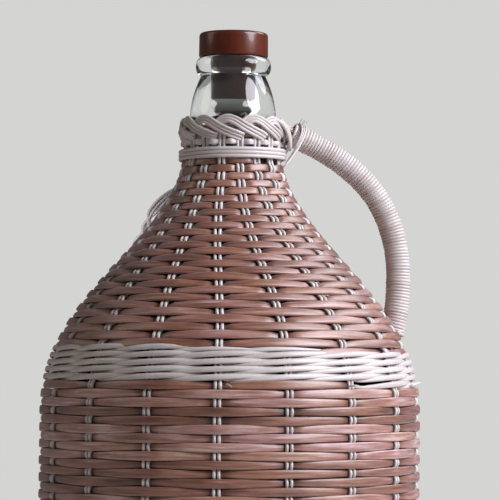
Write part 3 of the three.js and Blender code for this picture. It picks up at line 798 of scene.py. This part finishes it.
# Each stroke of the border rises from behind the one before, rolls over the top and sinks under the next.
# Its points are strokes along, millimetres up and millimetres out.
BORDER_R = 30.4
BORDER_Z = 353.4
BORDER_INNER_R = 28.5
BORDER_STROKES = 12
BORDER_CANE_WIDTH = 2.1
BORDER_CANE_THICKNESS = 2.0
BORDER_CANE_SPACING = 1.95
STROKE = (
    (-0.1, -4.5, -1.2), (-0.03, -1.5, -0.2), (0.07, 1.6, 0.2), (0.22, 3.5, 0.5), (0.45, 4.1, 0.9),
    (0.72, 2.4, 1.6), (1.0, -0.5, 2.1), (1.35, -3.4, 2.2), (1.7, -5.6, 1.5), (1.98, -7.0, -0.2),
)
border = Canes()
for stroke in range(BORDER_STROKES):
    along_shift, rise_shift, _ = rng.uniform(-0.05, 0.05, 3)
    begin = stroke + along_shift
    middle_z = BORDER_Z + 5 * rise_shift
    points = [((begin + x) * TAU / BORDER_STROKES, middle_z + y, BORDER_R + out) for x, y, out in STROKE]
    turn, z, r = through(points, 44).T
    base = at_turn(r, z, turn)
    forward = unit(np.gradient(base, axis=0))
    facing = square_to(unit(at_turn(1.0, 0.08 * (z - BORDER_Z), turn)), forward)
    across = np.cross(facing, forward)
    shade = rng.uniform(0.5, 0.85)
    for c in (-1, 0, 1):
        tone = shade + rng.uniform(-0.15, 0.12) + wave(turn * 5, 0.05, 310 + stroke)
        lay = c * BORDER_CANE_SPACING * (1 + wave(turn * 3, 0.05, 330 + stroke))
        centre = base + across * lay[:, None]
        border.add(centre, facing, across, BORDER_CANE_WIDTH, BORDER_CANE_THICKNESS, tone)
# Three rings of cane fill the border from inside, toned very dark as painted shade.
turn = TAU * np.arange(90) / 90
for height, tone in ((347.6, 0.05), (350.4, 0.1), (353.2, 0.15)):
    centre = at_turn(BORDER_INNER_R, height + wave(turn * 4, 0.3, 350), turn)
    border.add(centre, at_turn(1.0, 0.0, turn), repeated(UP, turn), 2.9, 2.2, tone, loop=True)
border.make("border_rope", cream, "peeled_cane", ["border_strand_1", "border_strand_2", "border_strand_3"])


# Handles

def handle_line(top, top_lead, top_fall, foot, foot_lead, foot_lean):
    """A handle's middle line, from its top outwards and down to its foot, with angles in degrees."""
    fall, lean = math.radians(top_fall), math.radians(foot_lean)
    corners = [
        top,
        (top[0] + top_lead * math.cos(fall), top[1] - top_lead * math.sin(fall)),
        (foot[0] + foot_lead * math.sin(lean), foot[1] + foot_lead * math.cos(lean)),
        foot,
    ]
    return resample(bezier(corners, 300), 0.1)


def along_line(line, share):
    """Points, directions and outer sides of a handle's line in the XZ plane."""
    grid = np.linspace(0, 1, len(line))
    d = unit(np.gradient(line, axis=0))
    r, z, dr, dz = (np.interp(share, grid, a) for a in (*line.T, *d.T))
    zero = np.zeros_like(r)
    return np.stack([r, zero, z], -1), np.stack([dr, zero, dz], -1), np.stack([-dz, zero, dr], -1)


def round_line(outer, angle):
    """Directions away from a handle's line, at angles round it."""
    return outer * np.cos(angle)[:, None] + SIDE * np.sin(angle)[:, None]


HANDLE_FOOT_RISE = 28
foot_r, foot_z, _, _ = line_at(band_start + HANDLE_FOOT_RISE)
handle = handle_line(
    top=(29.6, 354.1), top_lead=61.4, top_fall=19.8,
    foot=(float(foot_r), float(foot_z)), foot_lead=80.6, foot_lean=11.6,
)
handle_length = lengths_of(handle)[-1]

BUNDLE_R = 3.5
BUNDLE_CANE = 3.4
bundle = Canes()
share = np.linspace(0.0, 1.0, 120)
at, ahead, outer = along_line(handle, share)
for c in range(7):
    radius = 0 if c == 6 else BUNDLE_R
    centre = at + round_line(outer, TAU * c / 6 + 0.9 * share) * radius
    bundle.add(centre, outer, repeated(SIDE, share), BUNDLE_CANE, BUNDLE_CANE, rng.uniform(0.2, 0.5))
bundle.make("handle_bundle", cream, "peeled_cane", ["handle_core"])

WINDING_PITCH = 1.95
WINDING_R = 6.8
WINDING_WIDTH = 2.05
WINDING_THICKNESS = 1.8
winding = Canes()
wind_from, wind_to = 0.045, 0.975
turns = round(handle_length * (wind_to - wind_from) / WINDING_PITCH)
t = np.linspace(0, turns, turns * 22)
at, ahead, outer = along_line(handle, wind_from + (wind_to - wind_from) * t / turns)
out = round_line(outer, TAU * t + 0.6)
girth = WINDING_R + wave(t * 0.9, 0.16, 71)
tone = 0.64 + wave(t * 0.45, 0.14, 72) + wave(t * 1.7, 0.08, 73)
winding.add(at + out * girth[:, None], out, ahead, WINDING_WIDTH, WINDING_THICKNESS, tone)
winding.make("handle_winding", cream, "peeled_cane", ["handle_wrap"])


def path_cane(canes, points, width, thick, tone, taper=0.0, shape=OVAL, count=26):
    """A cane along a Bezier curve through space, lying flat towards the outside of the bottle."""
    centre = bezier(points, count)
    ahead = unit(np.gradient(centre, axis=0))
    out = square_to(unit(centre * [1, 1, 0.15] + 1e-6), ahead)
    canes.add(centre, out, np.cross(ahead, out), width, thick, tone, shape, taper=taper)


# The tie crosses the handle's top and runs down to both sides, with short loose ends on the handle.
tie = Canes()
for side in (-1, 1):
    for lane in range(3):
        points = [
            (42 + 1.6 * lane, side * 1.5, 358.6 - lane),
            (45 + lane, side * 11.5, 355),
            (38 + lane, side * 15, 342),
            at_turn(34.2, 331.5 - 1.2 * lane, side * math.radians(27 + 4 * lane)),
        ]
        path_cane(tie, points, 1.4, 1.0, rng.uniform(0.5, 0.8))
    for lane in range(3):
        points = [
            (41 + lane, side * 2, 355),
            (42 + lane, side * 2.5, 358.4),
            (43 + 1.5 * lane, side * 3, 359.5),
            (43.5 + 2 * lane, side * 4, 361 - lane),
        ]
        path_cane(tie, points, 1.1, 0.7, 0.75, taper=4)
# Root canes beside the handle come over the border and down to the neck's rows.
ROOT_PATH = ((27.8, 355), (29.5, 361.3), (35.2, 359.5), (37.5, 350), (35.8, 340.5))
for side in (-1, 1):
    for lane in range(4):
        root_turns = np.radians(side * (np.linspace(60, 20, len(ROOT_PATH)) - 3.7 * lane))
        points = [at_turn(r, z, a) for (r, z), a in zip(ROOT_PATH, root_turns)]
        path_cane(tie, points, 2.1, 1.9, rng.uniform(0.55, 0.85), shape=ROUND)
tie.make("handle_tie", cream, "peeled_cane", [])

# The rear handle: three groups of three strands, side by side above and plaited below
PLAIT_FROM = 0.4
PLAIT_FULL = 0.62
PLAIT_PERIODS = 1.6
PLAIT_SWING = 3.4
PLAIT_LIFT = 2.5
GROUP_SPACING = 3.1
STRAND_SPACING = 1.3
STRAND_WIDTH = 1.6
STRAND_THICKNESS = 1.5
STRAND_STEP = 0.5
rear_foot_z = REAR_TOP_Z - REAR_HEIGHT
ear_line = handle_line(
    top=(radius_at(REAR_TOP_Z), REAR_TOP_Z), top_lead=30, top_fall=6,
    foot=(radius_at(rear_foot_z), rear_foot_z), foot_lead=38, foot_lean=3,
)
turned = np.array(Matrix.Rotation(REAR_TURN, 3, "Z")).T
ear = Canes()
share = np.linspace(0, 1, 150)
at, ahead, outer = along_line(ear_line, share)
crossed = smooth_step(share, PLAIT_FROM, PLAIT_FULL)
for g in range(3):
    phase = PLAIT_PERIODS * TAU * (share - PLAIT_FROM) + TAU * g / 3
    sideways = GROUP_SPACING * (g - 1) * (1 - crossed) + PLAIT_SWING * np.sin(phase) * crossed
    over = STRAND_STEP * (g - 1) * (1 - crossed) + PLAIT_LIFT * np.sin(2 * phase) * crossed
    for c in (-1, 0, 1):
        strand_side = sideways + STRAND_SPACING * c
        strand_over = over - STRAND_STEP * c
        centre = at + SIDE * strand_side[:, None] + outer * strand_over[:, None]
        sides = repeated(SIDE, share) @ turned
        # Painted light: the rear handle's strands are toned palest, to stand for light falling on them.
        tone = rng.uniform(0.9, 1.15)
        ear.add(centre @ turned, outer @ turned, sides, STRAND_WIDTH, STRAND_THICKNESS, tone)
ear.make("ear_plait", cream, "peeled_cane", [f"rear_handle_strand_{n}" for n in (1, 2, 3)])


# Foot and mat

# The foot is a rope of canes that roll round a ring.
ROPE_STRANDS = 7
ROPE_CANE = 2.4
ROPE_ROLLS = 14
ROPE_R = 2.9
foot = Canes()
turn = TAU * np.arange(840) / 840
closing = np.sin(turn / 2) ** 2
for strand in range(ROPE_STRANDS):
    base = rng.uniform(0.5, 0.85)
    angle = TAU * strand / ROPE_STRANDS - ROPE_ROLLS * turn
    angle = angle + wave(turn * 9, 0.25, 500 + strand) * closing / ROPE_R
    radius = ROPE_R * (1 + wave(turn * 7, 0.06, 510 + strand) * closing)
    x, y = np.cos(angle), np.sin(angle)
    centre = at_turn(FOOT_R + x * radius, FOOT_Z + y * radius, turn)
    tone = base + rng.uniform(-0.12, 0.12) + wave(turn * 4, 0.07, 520)
    foot.add(centre, at_turn(x, y, turn), at_turn(-y, x, turn), ROPE_CANE, ROPE_CANE, tone, loop=True)
foot.make("foot_rope", cream, "peeled_cane", ["foot_roll"])

MAT_Z = 8.5
MAT_ROWS = 15
MAT_INNER_R = 14.5
MAT_PITCH = 5.35
MAT_SWING = 1.6
HUB_Z = 7.6
HUB_ROWS = 5
HUB_INNER_R = 1.2
HUB_PITCH = 2.55
mat = Canes()
p = np.arange(0, MAT_ROWS * STAKES, 1 / 6)
r = MAT_INNER_R + MAT_PITCH * p / STAKES + wave(p, 0.2, 81)
tuck, ride, _ = dips(p, r, 0)
turn = p * STEP
centre = at_turn(r, MAT_Z - MAT_SWING * (ride - tuck - 0.4), turn)
tone = 0.45 + wave(p * 0.2, 0.12, 82)
mat.add(centre, repeated(DOWN, p), at_turn(1.0, 0.0, turn), 5.0, 1.7, tone, OVAL)
p = np.arange(0, HUB_ROWS * STAKES, 1 / 3)
turn = p * STEP
centre = at_turn(HUB_INNER_R + HUB_PITCH * p / STAKES, HUB_Z, turn)
mat.add(centre, repeated(DOWN, p), at_turn(1.0, 0.0, turn), 2.5, 1.9, 0.4, OVAL)
mat.make("mat_weave", brown, "brown_cane", ["base_mat"])

SPOKE_APART = 1.3
SPOKE_RISE = 3.2
SPOKE_INNER_R = 7
SPOKE_BEND_R = 92
SPOKE_OUTER_R = 101
spokes = Canes()
r = np.linspace(SPOKE_INNER_R, SPOKE_OUTER_R, 60)
z = MAT_Z + SPOKE_RISE * np.clip((r - SPOKE_BEND_R) / (SPOKE_OUTER_R - SPOKE_BEND_R), 0, 1) ** 2
for pair in range(STAKES):
    turn = pair * STEP
    tangent = np.array([-math.sin(turn), math.cos(turn), 0])
    for side in (-1, 1):
        centre = at_turn(r, z, turn) + tangent * side * SPOKE_APART
        spokes.add(centre, repeated(DOWN, r), repeated(tangent, r), 2.1, 1.6, rng.uniform(0.3, 0.6))
spokes.make("mat_spokes", cream, "peeled_cane", [])


# Loose cane ends: four where the photograph shows them, and two at the back

CAMERA_TURN = -102.2
END_ROOT = 2.5
END_OUT = 5
END_THICKNESS = 1.4
ends = Canes()


def loose(turn_deg, z, sweep_deg, rise, stand, width, tone, taper=5):
    """One end, from under the cane at a height to a place to its right, standing off the weave."""
    a, b = math.radians(turn_deg), math.radians(turn_deg + sweep_deg)
    s = length_at(z)
    r0, z0, _, _ = line_at(s)
    r1, z1, nr, nz = line_at(s + rise)
    out = END_OUT + stand
    start = at_turn(r0 + END_ROOT, z0, a)
    end = at_turn(r1 + nr * out, z1 + nz * out, b)
    middle = (start + end) / 2 + at_turn(3.0, 1.0, (a + b) / 2)
    path_cane(ends, [start, middle, end], width, END_THICKNESS, tone, taper, count=14)


loose(CAMERA_TURN + 71, 195.5, sweep_deg=5, rise=0.5, stand=1.6, width=1.7, tone=0.7)
loose(CAMERA_TURN + 37, 195, sweep_deg=3, rise=-1, stand=0.2, width=1.4, tone=0.5)
loose(CAMERA_TURN - 1, 195.5, sweep_deg=1.5, rise=-2.5, stand=0.2, width=1.2, tone=0.5)
loose(CAMERA_TURN + 92, 228, sweep_deg=3, rise=-2, stand=2.5, width=1.6, tone=0.8)
loose(CAMERA_TURN + 150, 196, sweep_deg=4, rise=1, stand=0.6, width=1.5, tone=0.6)
loose(CAMERA_TURN - 150, 230, sweep_deg=4, rise=2, stand=0.6, width=1.5, tone=0.4)
ends.make("loose_ends", cream, "peeled_cane", [])


# Studio, in metres

FLOOR_R = 1.15
FLOOR_SIDES = 64


def floor_material():
    m = Nodes("studio_floor")
    speckle = m.noise(m.place("Object"), scale=60.0, detail=6.0, roughness=0.6)
    m.set(
        Base_Color=m.ramp(speckle, [(0.35, (0.55, 0.55, 0.535)), (0.65, (0.59, 0.59, 0.575))]),
        Roughness=0.95,
        Specular_IOR_Level=0.04,
    )
    return m.material


floor_edge = at_turn(FLOOR_R, 0, TAU * np.arange(FLOOR_SIDES) / FLOOR_SIDES)
floor_mesh = bpy.data.meshes.new("studio_floor")
floor_mesh.from_pydata(floor_edge.tolist(), [], [list(range(FLOOR_SIDES))])
floor_mesh.materials.append(floor_material())
floor_object = bpy.data.objects.new("studio_floor", floor_mesh)
bpy.context.collection.objects.link(floor_object)

AMBIENT_LEVEL = 0.04
BACKDROP_LEVEL = 0.66
MIRRORED_SHARE = 0.1
scene = bpy.context.scene
world = bpy.data.worlds.new("studio")
world.use_nodes = True
scene.world = world
tree = world.node_tree
background = tree.nodes["Background"]
background.inputs["Color"].default_value = (1, 1, 0.985, 1)
rays = tree.nodes.new("ShaderNodeLightPath").outputs


def calc(operation, a, b):
    made = tree.nodes.new("ShaderNodeMath")
    made.operation = operation
    for socket, value in zip(made.inputs, (a, b)):
        if isinstance(value, bpy.types.NodeSocket):
            tree.links.new(value, socket)
        else:
            socket.default_value = value
    return made.outputs[0]


# The pale backdrop shows to the camera and through the glass, and less in reflections.
before_diffuse = calc("LESS_THAN", rays["Diffuse Depth"], 0.5)
through_glass = calc("MULTIPLY", rays["Is Transmission Ray"], before_diffuse)
mirrored = calc("MULTIPLY", rays["Is Glossy Ray"], MIRRORED_SHARE)
seen = calc("MAXIMUM", calc("MAXIMUM", rays["Is Camera Ray"], through_glass), mirrored)
level = tree.nodes.new("ShaderNodeMapRange")
level.inputs[3].default_value = AMBIENT_LEVEL
level.inputs[4].default_value = BACKDROP_LEVEL
tree.links.new(seen, level.inputs[0])
tree.links.new(level.outputs[0], background.inputs["Strength"])

camera_turn = math.radians(CAMERA_TURN)
towards = Vector((math.cos(camera_turn), math.sin(camera_turn), 0))
right = Vector((-math.sin(camera_turn), math.cos(camera_turn), 0))
upright = Vector((0, 0, 1))
basket_middle = upright * 0.24
ear_middle = Vector(at_turn(0.078, 0.288, REAR_TURN).tolist())
ear_aim = ear_middle - right * 0.012 + upright * 0.014


def lamp(name, across_deg, up_deg, distance, size, power, colour, aim=basket_middle, cone_deg=0):
    """A soft lamp at an angle to the right of the camera and above the floor.

    It is an area lamp, or a spot where it has a cone.
    """
    a, e = math.radians(across_deg), math.radians(up_deg)
    way = (towards * math.cos(a) + right * math.sin(a)) * math.cos(e) + upright * math.sin(e)
    data = bpy.data.lights.new(name, "SPOT" if cone_deg else "AREA")
    if cone_deg:
        data.spot_size = math.radians(cone_deg)
        data.spot_blend = 1.0
        data.shadow_soft_size = size / 2
    else:
        data.shape = "DISK"
        data.size = size
    data.energy = power
    data.color = colour
    obj = bpy.data.objects.new(name, data)
    obj.location = aim + way * distance
    obj.rotation_euler = way.to_track_quat("Z", "Y").to_euler()
    bpy.context.collection.objects.link(obj)


lamp("key_lamp", 62, 30, distance=2.4, size=1.6, power=86, colour=(0.915, 0.91, 1))
lamp("fill_lamp", -85, 26, distance=2.2, size=1.2, power=6, colour=(1, 0.85, 0.7))
lamp("back_lamp", 116, 40, distance=2.2, size=1.2, power=20, colour=(0.9, 0.92, 1))
lamp("ear_lamp", -10, 4, distance=1.5, size=0.04, power=85, colour=(0.95, 0.92, 1), aim=ear_aim, cone_deg=3.2)

# Camera at the photograph's place
CAMERA_DISTANCE = 1.736
CAMERA_HEIGHT = 0.204
LENS_MM = 201.6
SENSOR_MM = 36
camera_data = bpy.data.cameras.new("camera")
camera_data.lens = LENS_MM
camera_data.sensor_width = SENSOR_MM
camera = bpy.data.objects.new("camera", camera_data)
bpy.context.collection.objects.link(camera)
scene.camera = camera
yaw, pitch, roll = math.radians(0.378), math.radians(2.454), math.radians(0.57)
level_ahead = -towards * math.cos(yaw) + right * math.sin(yaw)
ahead = level_ahead * math.cos(pitch) + upright * math.sin(pitch)
level_side = ahead.cross(upright).normalized()
level_top = level_side.cross(ahead)
side = level_side * math.cos(roll) + level_top * math.sin(roll)
top = level_top * math.cos(roll) - level_side * math.sin(roll)
camera_place = towards * CAMERA_DISTANCE + upright * CAMERA_HEIGHT
camera_axes = Matrix((side, top, -ahead)).transposed()
camera.matrix_world = Matrix.Translation(camera_place) @ camera_axes.to_4x4()

scene.view_settings.view_transform = "Standard"
